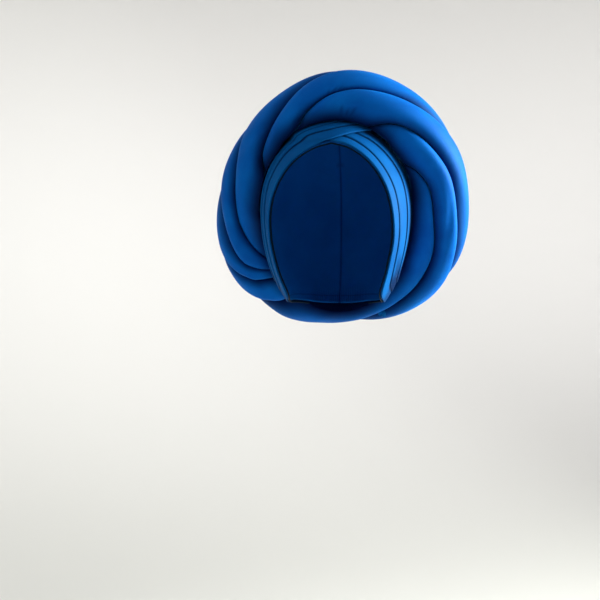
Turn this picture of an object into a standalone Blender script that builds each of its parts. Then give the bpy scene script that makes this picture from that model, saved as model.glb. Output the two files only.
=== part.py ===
"""Pre-tied halo turban in its worn form: a stretch cap with a face opening, two sets of
pleated bands that cross over the forehead, and a halo of four padded rolls twisted together.

The origin is the inside of the cap's crown, where the top of a head sits. -Y is the face side,
+X the viewer's right and +Z up. Sizes below are millimetres and degrees."""

import math

import bpy
import numpy as np

for obj in list(bpy.data.objects):
    bpy.data.objects.remove(obj)

MM = 0.001

# The head that the cap is sewn to fit: an egg of half-ellipsoids about one centre.
HEAD_CENTRE = np.array([0.0, 0.0, -100.0])
HEAD_HALF_WIDTH = 80.0
HEAD_FRONT = 96.0
HEAD_BACK = 98.0
HEAD_ABOVE = 100.0
HEAD_BELOW = 125.0

# Layers, as heights over the head.
CAP_WALL = 1.8
BAND_WALL = 1.5
BAND_SEAT = 2.2
PLEAT_RISE = 0.8
CROSSING_RISE = 2.6
BINDING_RADIUS = 0.9
BINDING_LIFT = 1.3
BINDING_OFFSET = 0.018
ROLL_GAP = 0.4
CORE_HOLE = 3.0
ROLL_REST = 0.8

# The bands' strip on either side, from where it tucks under the halo over the forehead, down past
# the face and below the ear to the nape. Places are directions from the head's centre: a turn
# away from straight ahead, which is wider on the left at the edge, and a rise. The strip runs
# from the cap's edge back to its last pleat line, and the first two lines lie between.
STRIP = (
    # right_turn, left_turn, edge_rise, last_turn, last_rise, right_first, right_second,
    # left_first, left_second
    (-42, -42, 54, -32, 67, 0.40, 0.70, 0.45, 0.75),
    (-17, -17, 47, -5, 64, 0.36, 0.68, 0.42, 0.72),
    (0, 0, 41, 11, 61, 0.32, 0.64, 0.42, 0.70),
    (14, 15, 37, 30, 58, 0.26, 0.60, 0.42, 0.68),
    (27, 30, 28, 54, 51, 0.20, 0.57, 0.40, 0.66),
    (37, 41, 14, 74, 31, 0.19, 0.60, 0.35, 0.64),
    (43, 48, -2, 76, 8, 0.22, 0.66, 0.32, 0.62),
    (47, 51, -20, 77, -15, 0.24, 0.70, 0.30, 0.62),
    (48, 52, -38, 78, -33, 0.28, 0.72, 0.32, 0.64),
    (53, 55, -54, 82, -42, 0.34, 0.72, 0.36, 0.68),
    (68, 69, -60, 90, -44, 0.40, 0.72, 0.40, 0.72),
    (90, 90, -62, 103, -45, 0.40, 0.72, 0.40, 0.72),
    (118, 118, -61, 122, -45, 0.40, 0.72, 0.40, 0.72),
    (142, 142, -60, 141, -45, 0.40, 0.72, 0.40, 0.72),
)
NAPE = (162, 180, -60)
CAP_POLE = (180, 40)
CAP_RINGS = 8
CAP_SETBACK = 1.0
BAND_STEPS = 34

# The halo's core line is a tilted oval, and these are its tube's sizes by clock angle.
HALO_CENTRE = np.array([4.0, 21.5, -89.7])
HALO_TILT = 28.0
HALO_SIZES = (
    # clock, core_radius, half_height, half_depth
    (0, 123, 30, 36),
    (30, 120, 30, 36),
    (60, 113.5, 31, 36),
    (90, 110.5, 32, 36),
    (120, 120, 32, 34),
    (150, 126, 27, 31),
    (180, 124, 24, 28),
    (210, 129.5, 28, 31),
    (240, 125, 30, 34),
    (270, 111, 31, 36),
    (300, 106, 30, 36),
    (330, 112, 29, 36),
)
STATIONS = 72
HUG = 18.0

# Where each valley between two rolls runs: at a clock angle, its place around the tube, with 0
# on the outer rim, 90 in front and 180 against the cap. Each makes two turns in a full circle.
FOLDS = (
    # clock, around
    (
        (-47, 180),
        (-21, 105),
        (-6, 73),
        (6, 57),
        (36, 30),
        (58, 0),
        (135, -90),
        (212, -185),
        (224, -236),
        (236, -286),
        (243, -310),
        (254, -360),
        (313, -540),
    ),
    (
        (0, 185),
        (24, 110),
        (45, 80),
        (70, 60),
        (95, 55),
        (115, 50),
        (130, 28),
        (145, 0),
        (180, -90),
        (218, -185),
        (231, -242),
        (246, -274),
        (265, -304),
        (277, -325),
        (290, -360),
        (325, -450),
        (360, -535),
    ),
    (
        (30, 185),
        (55, 123),
        (73, 109),
        (100, 107),
        (130, 99),
        (150, 92),
        (165, 70),
        (180, 20),
        (205, -90),
        (224, -195),
        (231, -222),
        (247, -241),
        (265, -264),
        (281, -285),
        (294, -305),
        (304, -330),
        (312, -360),
        (350, -450),
        (390, -535),
    ),
    (
        (196, 180),
        (206, 130),
        (213, 96),
        (220, 64),
        (228, 30),
        (237, 0),
        (262, -90),
        (290, -185),
        (300, -235),
        (309, -262),
        (322, -285),
        (336, -315),
        (346, -338),
        (362, -360),
        (450, -440),
        (530, -510),
        (556, -540),
    ),
)
VALLEY = 0.24
CREST_AT = 0.22
FULL_VALLEY_WIDTH = 70.0


def smoothstep(x):
    x = np.clip(x, 0.0, 1.0)
    return x * x * (3 - 2 * x)


def direction(turn, rise):
    turn = np.radians(turn)
    rise = np.radians(rise)
    return np.stack([np.cos(rise) * np.sin(turn), -np.cos(rise) * np.cos(turn), np.sin(rise)], -1)


def head_radius(way):
    depth = np.where(way[..., 1] < 0, HEAD_FRONT, HEAD_BACK)
    height = np.where(way[..., 2] > 0, HEAD_ABOVE, HEAD_BELOW)
    across = way[..., 0] / HEAD_HALF_WIDTH
    return 1 / np.sqrt(across**2 + (way[..., 1] / depth) ** 2 + (way[..., 2] / height) ** 2)


def over_head(way, lift):
    way = way / np.linalg.norm(way, axis=-1, keepdims=True)
    return HEAD_CENTRE + way * (head_radius(way) + lift)[..., None]


def halo_clearance(way):
    """How far the halo keeps off the head: the cap, then the bands, then their crossing."""
    last = -0.2 - 0.1 * smoothstep((way[..., 2] - 0.45) / 0.4)
    before_ears = smoothstep((last - way[..., 1]) / 0.12 + 1)
    below_ears = smoothstep((-0.5 - way[..., 2]) / 0.12) * smoothstep((0.75 - way[..., 1]) / 0.12)
    on_bands = np.maximum(before_ears, below_ears)
    on_crossing = smoothstep((way[..., 2] - 0.6) / 0.1) * smoothstep((0.68 - abs(way[..., 0])) / 0.12)
    cap = CAP_WALL + ROLL_REST
    bands = BAND_SEAT + BAND_WALL + PLEAT_RISE - CAP_WALL
    return cap + bands * on_bands + CROSSING_RISE * on_crossing * before_ears


def settled(points, softness=3.0):
    """Moves what would sink into the head out to its surface, as padding gives way."""
    way = points - HEAD_CENTRE
    far = np.linalg.norm(way, axis=-1)
    way = way / far[..., None]
    least = head_radius(way) + halo_clearance(way)
    far = least + softness * np.logaddexp(0, (far - least) / softness)
    return HEAD_CENTRE + way * far[..., None]


def through(rows, count):
    """Points spaced evenly along a smooth line through the rows."""
    rows = np.array(rows, float)
    before = 2 * rows[0] - rows[1]
    after = 2 * rows[-1] - rows[-2]
    knots = np.vstack([before, rows, after])
    at = np.linspace(0, len(rows) - 1, 40 * len(rows))
    i = np.minimum(at.astype(int), len(rows) - 2)
    t = (at - i)[:, None]
    a, b, c, d = (knots[i + k] for k in range(4))
    fine = b + t * (c - a) / 2 + t**2 * (2 * a - 5 * b + 4 * c - d) / 2 + t**3 * (3 * b - a - 3 * c + d) / 2
    steps = np.linalg.norm(np.diff(fine[:, :2], axis=0), axis=1)
    along = np.concatenate([[0], np.cumsum(steps)])
    want = np.linspace(0, along[-1], count)
    return np.stack([np.interp(want, along, column) for column in fine.T], -1)


def mesh_object(name, points, faces, colour):
    mesh = bpy.data.meshes.new(name)
    mesh.from_pydata([tuple(p) for p in np.asarray(points) * MM], [], faces)
    mesh.update()
    made = bpy.data.objects.new(name, mesh)
    parts.objects.link(made)
    mesh.materials.append(fabric(name, colour))
    return made


def fabric(name, colour):
    made = bpy.data.materials.new(name + "_cloth")
    made.use_nodes = True
    shader = made.node_tree.nodes["Principled BSDF"]
    shader.inputs["Base Color"].default_value = (*colour, 1)
    shader.inputs["Roughness"].default_value = 0.7
    return made


def thickened(made, wall):
    solidify = made.modifiers.new("wall", "SOLIDIFY")
    solidify.thickness = wall * MM
    solidify.offset = 1.0
    solidify.use_even_offset = True
    return made


def sheet_faces(rows, columns):
    return [
        (r * columns + c, r * columns + c + 1, (r + 1) * columns + c + 1, (r + 1) * columns + c)
        for r in range(rows - 1)
        for c in range(columns - 1)
    ]


parts = bpy.data.collections.new("turban")
bpy.context.scene.collection.children.link(parts)
BLUE = (0.002, 0.1, 0.45)
NAVY = (0.001, 0.002, 0.014)


def pleat_lines(hand):
    """Turns and rises of one side's four lines, from the cap's edge to the last pleat line."""
    rows = np.array(STRIP, float)
    turn = rows[:, 0 if hand > 0 else 1]
    rise, last_turn, last_rise = rows[:, 2], rows[:, 3], rows[:, 4]
    first, second = rows[:, 5:7].T if hand > 0 else rows[:, 7:9].T
    lines = []
    for share in (0 * rise, first, second, 1 + 0 * rise):
        line = np.stack([turn + (last_turn - turn) * share, rise + (last_rise - rise) * share], -1)
        line = through(line, BAND_STEPS) * (hand, 1)
        lines.append(line.T)
    return lines


# Inner cap: one stretched sheet from the back of the crown to its edge all round.
right, left = (np.stack(pleat_lines(hand)[0], -1) for hand in (1, -1))
front = np.argmax(right[:, 0] > 0)
nape_turn, back_turn, nape_rise = NAPE
nape = [(nape_turn, nape_rise), (back_turn, nape_rise), (-nape_turn, nape_rise)]
hem = np.vstack([[(0, STRIP[2][2])], right[front:], nape, left[:front - 1:-1]])
hem = direction(*hem.T)
pole = direction(*CAP_POLE)
spread = np.arccos(hem @ pole) - math.radians(CAP_SETBACK)
side = hem - (hem @ pole)[:, None] * pole
side = side / np.linalg.norm(side, axis=1, keepdims=True)
cap_ways = [pole[None]]
for ring in range(1, CAP_RINGS + 1):
    reach = (spread * ring / CAP_RINGS)[:, None]
    cap_ways.append(np.cos(reach) * pole + np.sin(reach) * side)
cap_points = over_head(np.vstack(cap_ways), np.array([0.0]))
around = len(hem)
cap_faces = [(0, 1 + i, 1 + (i + 1) % around) for i in range(around)]
for ring in range(CAP_RINGS - 1):
    for i in range(around):
        near, far = 1 + ring * around, 1 + (ring + 1) * around
        after = (i + 1) % around
        cap_faces.append((near + i, far + i, far + after, near + after))
thickened(mesh_object("inner_cap", cap_points, cap_faces, BLUE), CAP_WALL)

# Bands: strips between neighbouring pleat lines. The edge of each nearest the face stands
# proud, and the left-hand set climbs over the right-hand one where they cross.
for hand, label in ((1, "right"), (-1, "left")):
    lines = pleat_lines(hand)
    for k in range(3):
        near_turn, near_rise = lines[k]
        far_turn, far_rise = lines[k + 1]
        grid = []
        for across in (0.0, 0.5, 1.0):
            share = 0.03 + 0.94 * across
            turn = near_turn + (far_turn - near_turn) * share
            rise = near_rise + (far_rise - near_rise) * share
            lift = BAND_SEAT + PLEAT_RISE * (1 - across)
            if hand < 0:
                under = rise - 41 + 0.3 * np.minimum(turn, 0)
                lift = lift + CROSSING_RISE * smoothstep((under + 7) / 5)
            grid.append(over_head(direction(turn, rise), np.broadcast_to(lift, turn.shape)))
        faces = sheet_faces(3, BAND_STEPS)
        if hand < 0:
            faces = [face[::-1] for face in faces]
        strip = mesh_object(f"{label}_band_{k + 1}", np.concatenate(grid), faces, BLUE)
        thickened(strip, BAND_WALL)

# Rim binding: the narrow dark edge that shows all along the face opening, just clear of the bands.
sides = []
for hand in (1, -1):
    lines = pleat_lines(hand)
    beside = direction(*lines[0][:, front:])
    away = beside - direction(*lines[3][:, front:])
    sides.append(beside + BINDING_OFFSET * away / np.linalg.norm(away, axis=1, keepdims=True))
binding_ways = np.vstack([sides[1][::-1], sides[0]])
path = bpy.data.curves.new("rim_binding", "CURVE")
path.dimensions = "3D"
path.bevel_depth = BINDING_RADIUS * MM
path.bevel_resolution = 1
path.use_fill_caps = True
line = path.splines.new("POLY")
line.points.add(len(binding_ways) - 1)
for knot, place in zip(line.points, over_head(binding_ways, np.array([BINDING_LIFT]))):
    knot.co = (*place * MM, 1)
binding = bpy.data.objects.new("rim_binding", path)
parts.objects.link(binding)
path.materials.append(fabric("rim_binding", NAVY))

# Halo rolls.
tilt = math.radians(HALO_TILT)
ACROSS = np.array([1.0, 0.0, 0.0])
UPWARD = np.array([0.0, -math.sin(tilt), math.cos(tilt)])
FORWARD = np.array([0.0, -math.cos(tilt), -math.sin(tilt)])


def halo_size(clock, column):
    """The size in that column at a clock angle, smooth through the rows of the table."""
    sizes = np.array(HALO_SIZES, float)[:, column]
    place = (clock % 360) / 360 * len(sizes)
    i = int(place)
    t = place - i
    a, b, c, d = (sizes[(i + k) % len(sizes)] for k in (-1, 0, 1, 2))
    return b + t * (c - a) / 2 + t**2 * (2 * a - 5 * b + 4 * c - d) / 2 + t**3 * (3 * b - a - 3 * c + d) / 2


def fold_at(fold, clock):
    """Where the fold lies around the tube, eased over a few degrees of clock angle."""
    clocks, arounds = np.array(fold, float).T
    places = []
    for near in (-8, -4, 0, 4, 8):
        turns = math.floor((clock + near - clocks[0]) / 360)
        places.append(np.interp(clock + near - 360 * turns, clocks, arounds) - 720 * turns)
    return sum(places) / len(places)


def roll_section(clock, first, low, high, second):
    """One roll's outline across the tube, from its valley at low to its valley at high.
    The valleys beyond it, first and second, tell how deep those two can be."""
    core, half_height, half_depth = (halo_size(clock, column) for column in (1, 2, 3))
    turn = math.radians(clock)
    outward = math.sin(turn) * ACROSS + math.cos(turn) * UPWARD
    width = high - low
    valley_low = VALLEY * min(1, (width + low - first) / 2 / FULL_VALLEY_WIDTH)
    valley_high = VALLEY * min(1, (width + second - high) / 2 / FULL_VALLEY_WIDTH)
    flat = []
    for share in (0, 0.06, 0.14, 0.26, 0.42, 0.58, 0.74, 0.88, 1):
        if share < CREST_AT:
            swell = 1 - valley_low * ((CREST_AT - share) / CREST_AT) ** 2
        else:
            swell = 1 - valley_high * ((share - CREST_AT) / (1 - CREST_AT)) ** 2.2
        angle = math.radians(low + width * share)
        inward = smoothstep(-math.cos(angle))
        swell = swell + (1 - swell) * 0.8 * inward
        reach = half_height + (HUG if math.cos(angle) < 0 else 0)
        flat.append(swell * np.array([reach * math.cos(angle), half_depth * math.sin(angle)]))
    # Both sides draw in by half the gap, and stop short of the tube's middle.
    inner = []
    for end, sign in ((-1, -1), (0, 1)):
        along = flat[end] / np.linalg.norm(flat[end])
        inset = sign * ROLL_GAP / 2 * np.array([-along[1], along[0]])
        inner.append(CORE_HOLE * along + inset)
        flat[end] = flat[end] + inset
    flat = np.array(flat + inner)
    return HALO_CENTRE + (core + flat[:, :1]) * outward + flat[:, 1:] * FORWARD


rolls = [[] for _ in FOLDS]
for station in range(STATIONS):
    clock = 360 * station / STATIONS
    v = [fold_at(fold, clock) for fold in FOLDS]
    v = [v[-1] - 360] + v + [v[0] + 360, v[1] + 360]
    for k in range(len(FOLDS)):
        rolls[k].append(roll_section(clock, *v[k : k + 4]))
for k, sections in enumerate(rolls):
    points = settled(np.array(sections))
    count = points.shape[1]
    first_side = count - 3
    faces = []
    for station in range(STATIONS):
        here, there = station * count, (station + 1) % STATIONS * count
        for i in range(count):
            j = (i + 1) % count
            if i < first_side:
                faces.append((here + i, here + j, there + j, there + i))
            elif i == first_side:
                faces.append((here + i, here + j, there + i))
                faces.append((there + i, here + j, there + j))
            else:
                faces.append((here + i, here + j, there + j))
                faces.append((here + i, there + j, there + i))
    mesh_object(f"halo_roll_{k + 1}", points.reshape(-1, 3), faces, BLUE)
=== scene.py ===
# %% [markdown]
# # A pre-tied halo turban
# A pre-tied turban is a hat that looks like a freshly wrapped scarf. A stretch cap holds it on,
# pleated bands frame the face and cross over the forehead, and a padded halo of twisted rolls
# stands round the head. Everything is one smooth, slightly shiny blue jersey. This lesson dresses
# the plain solids of such a turban: each solid gives the place and size, and each step builds the
# cloth that shows.

# %% The plain solids
import math

import bpy
import numpy as np
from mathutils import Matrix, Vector


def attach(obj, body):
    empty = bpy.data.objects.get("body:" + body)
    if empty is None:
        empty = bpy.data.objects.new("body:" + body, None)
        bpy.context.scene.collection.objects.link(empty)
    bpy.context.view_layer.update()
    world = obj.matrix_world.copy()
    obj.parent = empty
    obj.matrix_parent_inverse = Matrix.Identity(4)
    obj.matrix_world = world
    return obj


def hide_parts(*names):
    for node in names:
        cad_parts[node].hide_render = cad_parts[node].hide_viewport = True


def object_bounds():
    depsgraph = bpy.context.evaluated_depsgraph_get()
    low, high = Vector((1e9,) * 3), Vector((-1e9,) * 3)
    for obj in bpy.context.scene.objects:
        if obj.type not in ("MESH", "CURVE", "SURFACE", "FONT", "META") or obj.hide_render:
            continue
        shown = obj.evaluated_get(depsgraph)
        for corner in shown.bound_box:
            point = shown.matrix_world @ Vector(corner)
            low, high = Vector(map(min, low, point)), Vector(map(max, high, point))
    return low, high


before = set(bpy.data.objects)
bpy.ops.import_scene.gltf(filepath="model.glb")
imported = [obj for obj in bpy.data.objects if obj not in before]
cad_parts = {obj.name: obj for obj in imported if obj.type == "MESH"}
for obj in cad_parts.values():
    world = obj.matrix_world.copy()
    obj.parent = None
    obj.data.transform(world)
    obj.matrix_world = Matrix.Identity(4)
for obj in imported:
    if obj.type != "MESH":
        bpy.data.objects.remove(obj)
solid_low, solid_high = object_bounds()
print("solids from", [round(x, 4) for x in solid_low], "to", [round(x, 4) for x in solid_high])

# %% [markdown]
# ## The camera
# The turban is seen from in front, level with the halo's lower edge and a little from the right.
# A long lens from about a metre away keeps the proportions that a visitor to a shop would see.
# The camera comes first, because everything afterwards is judged through it.

# %% A camera in front, level with the lower edge
camera_data = bpy.data.cameras.new("portrait_camera")
camera_data.lens = 54
camera_data.sensor_width = 36
camera = bpy.data.objects.new("portrait_camera", camera_data)
camera.location = (0.0642, -0.9942, -0.197)
camera.rotation_euler = (math.radians(90), 0, math.radians(6))
bpy.context.scene.collection.objects.link(camera)
bpy.context.scene.camera = camera
bpy.context.scene.view_settings.view_transform = "Standard"
print("camera", round((camera.location - (solid_low + solid_high) / 2).length, 3), "m away")

# %% [markdown]
# ## The stage
# A pale floor that turns up into a wall all round, like a photographer's paper sweep bent into a
# bowl, gives a plain background from every side with no horizon line. A lid keeps the background
# pale from below too. It is a turned shape, so one profile and a Screw modifier make it.

# %% A pale bowl-shaped sweep
FLOOR_HEIGHT = -0.8
FLOOR_RADIUS = 1.0
WALL_CURVE = 2.4
WALL_TOP = 3.4


def sweep_profile():
    """Points from the middle of the floor out to the wall and up it."""
    points = [(r, 0, FLOOR_HEIGHT) for r in (0, 0.5, FLOOR_RADIUS)]
    for step in range(1, 25):
        a = math.radians(90 * step / 24)
        out = FLOOR_RADIUS + WALL_CURVE * math.sin(a)
        points.append((out, 0, FLOOR_HEIGHT + WALL_CURVE * (1 - math.cos(a))))
    return points + [(r, 0, WALL_TOP) for r in (FLOOR_RADIUS + WALL_CURVE, 1.7, 0)]


profile = sweep_profile()
sweep_mesh = bpy.data.meshes.new("studio_sweep")
sweep_mesh.from_pydata(profile, [(i, i + 1) for i in range(len(profile) - 1)], [])
sweep = bpy.data.objects.new("studio_sweep", sweep_mesh)
bpy.context.scene.collection.objects.link(sweep)
turning = sweep.modifiers.new("turned", "SCREW")
turning.steps = turning.render_steps = 96
turning.use_merge_vertices = True
turning.merge_threshold = 0.0001
turning.use_smooth_shade = True
paper = bpy.data.materials.new("pale_paper")
paper.use_nodes = True
paper_shader = paper.node_tree.nodes["Principled BSDF"]
paper_shader.inputs["Base Color"].default_value = (0.74, 0.73, 0.72, 1)
paper_shader.inputs["Roughness"].default_value = 0.9
sweep_mesh.materials.append(paper)
print("sweep of", len(profile), "profile points")

# %% [markdown]
# ## Light
# A strong soft light stands almost level with the turban and square to its right, so each roll is
# bright on its right shoulder and falls away to deep blue. Two weaker ones high in front and one
# on the left keep the rest readable, and two high ones behind are aimed at the wall to keep the
# background pale. Each is placed by its azimuth from straight ahead, its elevation and its
# distance, because that is how a photographer walks a light round a subject.

# %% Four lights on the turban and two on the wall
MIDDLE = (solid_low + solid_high) / 2
LIGHTS = (
    # name, azimuth, elevation, away, target, size, watts, spread, colour
    ("right_softbox", 98, 7, 1.8, MIDDLE, 0.7, 48, 120, (0.97, 1.0, 0.93)),
    ("high_right_softbox", 60, 50, 1.8, MIDDLE, 0.8, 3.4, 120, (0.92, 0.97, 1.0)),
    ("high_front_softbox", 30, 50, 1.8, MIDDLE, 0.8, 1.6, 120, (0.92, 0.97, 1.0)),
    ("left_softbox", -70, 20, 1.8, MIDDLE, 0.8, 1.4, 120, (0.93, 0.97, 1.0)),
    ("right_wall_light", 100, 55, 2.2, (0.9, 3.4, -0.1), 1.4, 15, 90, (1.0, 1.0, 1.0)),
    ("left_wall_light", -100, 55, 2.2, (-0.9, 3.4, -0.1), 1.4, 15, 90, (1.0, 1.0, 1.0)),
)
for name, azimuth, elevation, away, target, size, watts, spread, colour in LIGHTS:
    data = bpy.data.lights.new(name, "AREA")
    data.shape = "DISK"
    data.size = size
    data.energy = watts
    data.spread = math.radians(spread)
    data.color = colour
    lamp = bpy.data.objects.new(name, data)
    turn, rise = math.radians(azimuth), math.radians(elevation)
    level = math.cos(rise)
    way = Vector((math.sin(turn) * level, -math.cos(turn) * level, math.sin(rise)))
    lamp.location = MIDDLE + away * way
    aim = Vector(target) - lamp.location
    lamp.rotation_euler = aim.to_track_quat("-Z", "Y").to_euler()
    lamp.visible_camera = False
    bpy.context.scene.collection.objects.link(lamp)
world = bpy.data.worlds.new("studio_air")
bpy.context.scene.world = world
world.use_nodes = True
world.node_tree.nodes["Background"].inputs["Color"].default_value = (0.9, 0.92, 1.0, 1)
world.node_tree.nodes["Background"].inputs["Strength"].default_value = 0.03
print(len(LIGHTS), "lights")

# %% [markdown]
# ## Wiring nodes
# A cloth material is a page of small nodes wired together. Adding each one takes the same few
# steps, so four helpers do them: any node, a sum, a noise and a mix of two colours.

# %% Helpers for nodes
def linked(tree, kind, settings=(), **inputs):
    """A new node, with its properties set and its inputs linked or given values. An input is
    named by its label, or as i6 by its place."""
    node = tree.nodes.new(kind)
    for key, value in settings:
        setattr(node, key, value)
    for key, value in inputs.items():
        by_place = key[0] == "i" and key[1:].isdigit()
        socket = node.inputs[int(key[1:]) if by_place else key.replace("_", " ")]
        if isinstance(value, bpy.types.NodeSocket):
            tree.links.new(value, socket)
        else:
            socket.default_value = value
    return node


def sums(tree, operation, *values):
    """The output of a Math node on these values or sockets."""
    numbered = {f"i{i}": value for i, value in enumerate(values)}
    return linked(tree, "ShaderNodeMath", [("operation", operation)], **numbered).outputs[0]


def noise(tree, place, scale, detail, roughness):
    """The output of a cloudy noise, with about that many clouds to the metre."""
    values = {"Scale": scale, "Detail": detail, "Roughness": roughness}
    return linked(tree, "ShaderNodeTexNoise", Vector=place, **values).outputs["Fac"]


def mixed(tree, factor, first, second, blend="MIX"):
    """The output of a colour mix: first where the factor is 0, second where it is 1."""
    settings = [("data_type", "RGBA"), ("blend_type", blend)]
    return linked(tree, "ShaderNodeMix", settings, Factor=factor, i6=first, i7=second).outputs[2]


print("helpers:", ", ".join(helper.__name__ for helper in (linked, sums, noise, mixed)))

# %% [markdown]
# ## The cloth
# The whole turban is a fine jersey knit with a satin face. The cloth has slow changes of tone
# where it is stretched over the padding, and down in the folds its blue is painted deep navy as
# painted shade. All the pieces need this, so it is one node group with its own inputs, and each
# material sets them its own way.

# %% The jersey group's inputs and outputs
jersey = bpy.data.node_groups.new("stretch_jersey", "ShaderNodeTree")
GROUP_INPUTS = (
    # name, kind, value
    ("Place", "NodeSocketVector", (0, 0, 0)),
    # Fold is a painted-shade mask: 1 keeps the cloth's blue, 0 paints it fully in the shade colour.
    ("Fold", "NodeSocketFloat", 1.0),
    ("Colour", "NodeSocketColor", (0.0, 0.1, 0.5, 1)),
    ("Stretched Colour", "NodeSocketColor", (0.0, 0.15, 0.6, 1)),
    ("Painted Shade Colour", "NodeSocketColor", (0.0, 0.01, 0.1, 1)),
    ("Knit Pitch", "NodeSocketFloat", 0.001),
    ("Roughness", "NodeSocketFloat", 0.5),
)
for name, kind, value in GROUP_INPUTS:
    jersey.interface.new_socket(name, in_out="INPUT", socket_type=kind).default_value = value
for name in ("Colour", "Roughness", "Height"):
    kind = "NodeSocketColor" if name == "Colour" else "NodeSocketFloat"
    jersey.interface.new_socket(name, in_out="OUTPUT", socket_type=kind)
given = jersey.nodes.new("NodeGroupInput").outputs
taken = jersey.nodes.new("NodeGroupOutput").inputs
print("inputs:", [name for name, *_ in GROUP_INPUTS])

# %% [markdown]
# ## The knit
# A knit is rows of small V-shaped loops, far too fine to model, so they are drawn as a height
# that bends the normal. The wales are the columns of loops: a zigzag across them gives each
# loop's two legs, and a wave that the zigzag pushes along gives the V. A fine fuzz breaks them up.

# %% Loops as a height
SLOW_CLOUDS = 26.0
FUZZ_CLOUDS = 900.0
FUZZ_HEIGHT = 0.6
place = linked(jersey, "ShaderNodeSeparateXYZ", Vector=given["Place"]).outputs
wales = sums(jersey, "DIVIDE", place["Y"], given["Knit Pitch"])
courses = sums(jersey, "DIVIDE", place["X"], given["Knit Pitch"])
leg = sums(jersey, "PINGPONG", wales, 0.5)
ribs = sums(jersey, "SINE", sums(jersey, "MULTIPLY", leg, math.tau / 2))
loops = sums(jersey, "SINE", sums(jersey, "MULTIPLY", sums(jersey, "ADD", courses, leg), math.tau))
loops = sums(jersey, "MULTIPLY_ADD", loops, 0.25, 0.75)
knit = sums(jersey, "MULTIPLY", ribs, loops)
at = jersey.nodes.new("ShaderNodeTexCoord").outputs["Object"]
slow = noise(jersey, at, SLOW_CLOUDS, 3.0, 0.5)
fuzz = noise(jersey, at, FUZZ_CLOUDS, 2.0, 0.6)
height = sums(jersey, "ADD", knit, sums(jersey, "MULTIPLY", fuzz, FUZZ_HEIGHT))
jersey.links.new(height, taken["Height"])
print("the knit takes", len(jersey.nodes), "nodes")

# %% [markdown]
# ## Shade and folds
# Where the cloth is stretched over the padding it is a little lighter, in slow soft clouds. Deep
# in a fold little light comes back, so there the blue is painted navy: painted shade, set by the
# Fold mask. The gaps between loops are a touch darker than the loops, so the knit also tints the
# colour by a few hundredths.

# %% Colour and roughness
stretch = linked(jersey, "ShaderNodeMapRange", Value=slow, From_Min=0.38, From_Max=0.66)
worn = mixed(jersey, stretch.outputs["Result"], given["Colour"], given["Stretched Colour"])
# Painted shade: the Fold mask paints the blue towards the painted shade colour in folds.
folded = mixed(jersey, given["Fold"], given["Painted Shade Colour"], worn)
grain = sums(jersey, "ADD", sums(jersey, "MULTIPLY", knit, 0.6), fuzz)
grain = sums(jersey, "MULTIPLY_ADD", grain, 0.16, 0.87)
jersey.links.new(mixed(jersey, 1.0, folded, grain, "MULTIPLY"), taken["Colour"])
uneven = sums(jersey, "MULTIPLY_ADD", slow, 0.16, -0.08)
jersey.links.new(sums(jersey, "ADD", given["Roughness"], uneven), taken["Roughness"])
print("stretch_jersey has", len(jersey.nodes), "nodes")

# %% [markdown]
# ## The cloth's materials
# Halo, bands, cap and binding are cut from the same bolt, and differ in how they are used: the
# halo's cloth is stretched over padding, the bands are pressed flat, the cap is thin and dull,
# and the binding is a dark narrow edge. A sheen in the cloth's own blue gives the soft bloom that
# jersey has where it turns away, and a blue-tinted gloss keeps highlights from going grey.

# %% One material for each use of the cloth
KNIT_PITCH = 0.0011


def jersey_material(name, size, blues, roughness, bump=0.35, sheen=0.35, gloss=0.22):
    """Jersey over a piece of that real size along and across, whose cloth map runs from 0 to 1.
    Its three blues are the plain cloth, the stretched cloth and the painted shade deep in a fold."""
    made = bpy.data.materials.new(name)
    made.use_nodes = True
    tree = made.node_tree
    shader = tree.nodes["Principled BSDF"]
    cloth_map = linked(tree, "ShaderNodeUVMap", [("uv_map", "cloth")]).outputs["UV"]
    place = linked(tree, "ShaderNodeMapping", Vector=cloth_map, Scale=(*size, 1)).outputs["Vector"]
    # The fold attribute is the painted-shade mask.
    mask = linked(tree, "ShaderNodeAttribute", [("attribute_name", "fold")]).outputs["Fac"]
    group = linked(tree, "ShaderNodeGroup", [("node_tree", jersey)], Place=place, Fold=mask)
    for blue, part in zip(blues, ("Colour", "Stretched Colour", "Painted Shade Colour")):
        group.inputs[part].default_value = (*blue, 1)
    group.inputs["Roughness"].default_value = roughness
    group.inputs["Knit Pitch"].default_value = KNIT_PITCH
    raised = {"Strength": bump, "Distance": 0.00025}
    knit_bump = linked(tree, "ShaderNodeBump", Height=group.outputs["Height"], **raised)
    tree.links.new(group.outputs["Colour"], shader.inputs["Base Color"])
    tree.links.new(group.outputs["Roughness"], shader.inputs["Roughness"])
    tree.links.new(knit_bump.outputs["Normal"], shader.inputs["Normal"])
    shader.inputs["Specular IOR Level"].default_value = gloss
    shader.inputs["Specular Tint"].default_value = (0.05, 0.75, 1, 1)
    shader.inputs["Sheen Weight"].default_value = sheen
    shader.inputs["Sheen Roughness"].default_value = 0.35
    shader.inputs["Sheen Tint"].default_value = (0.01, 0.35, 1, 1)
    return made


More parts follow.
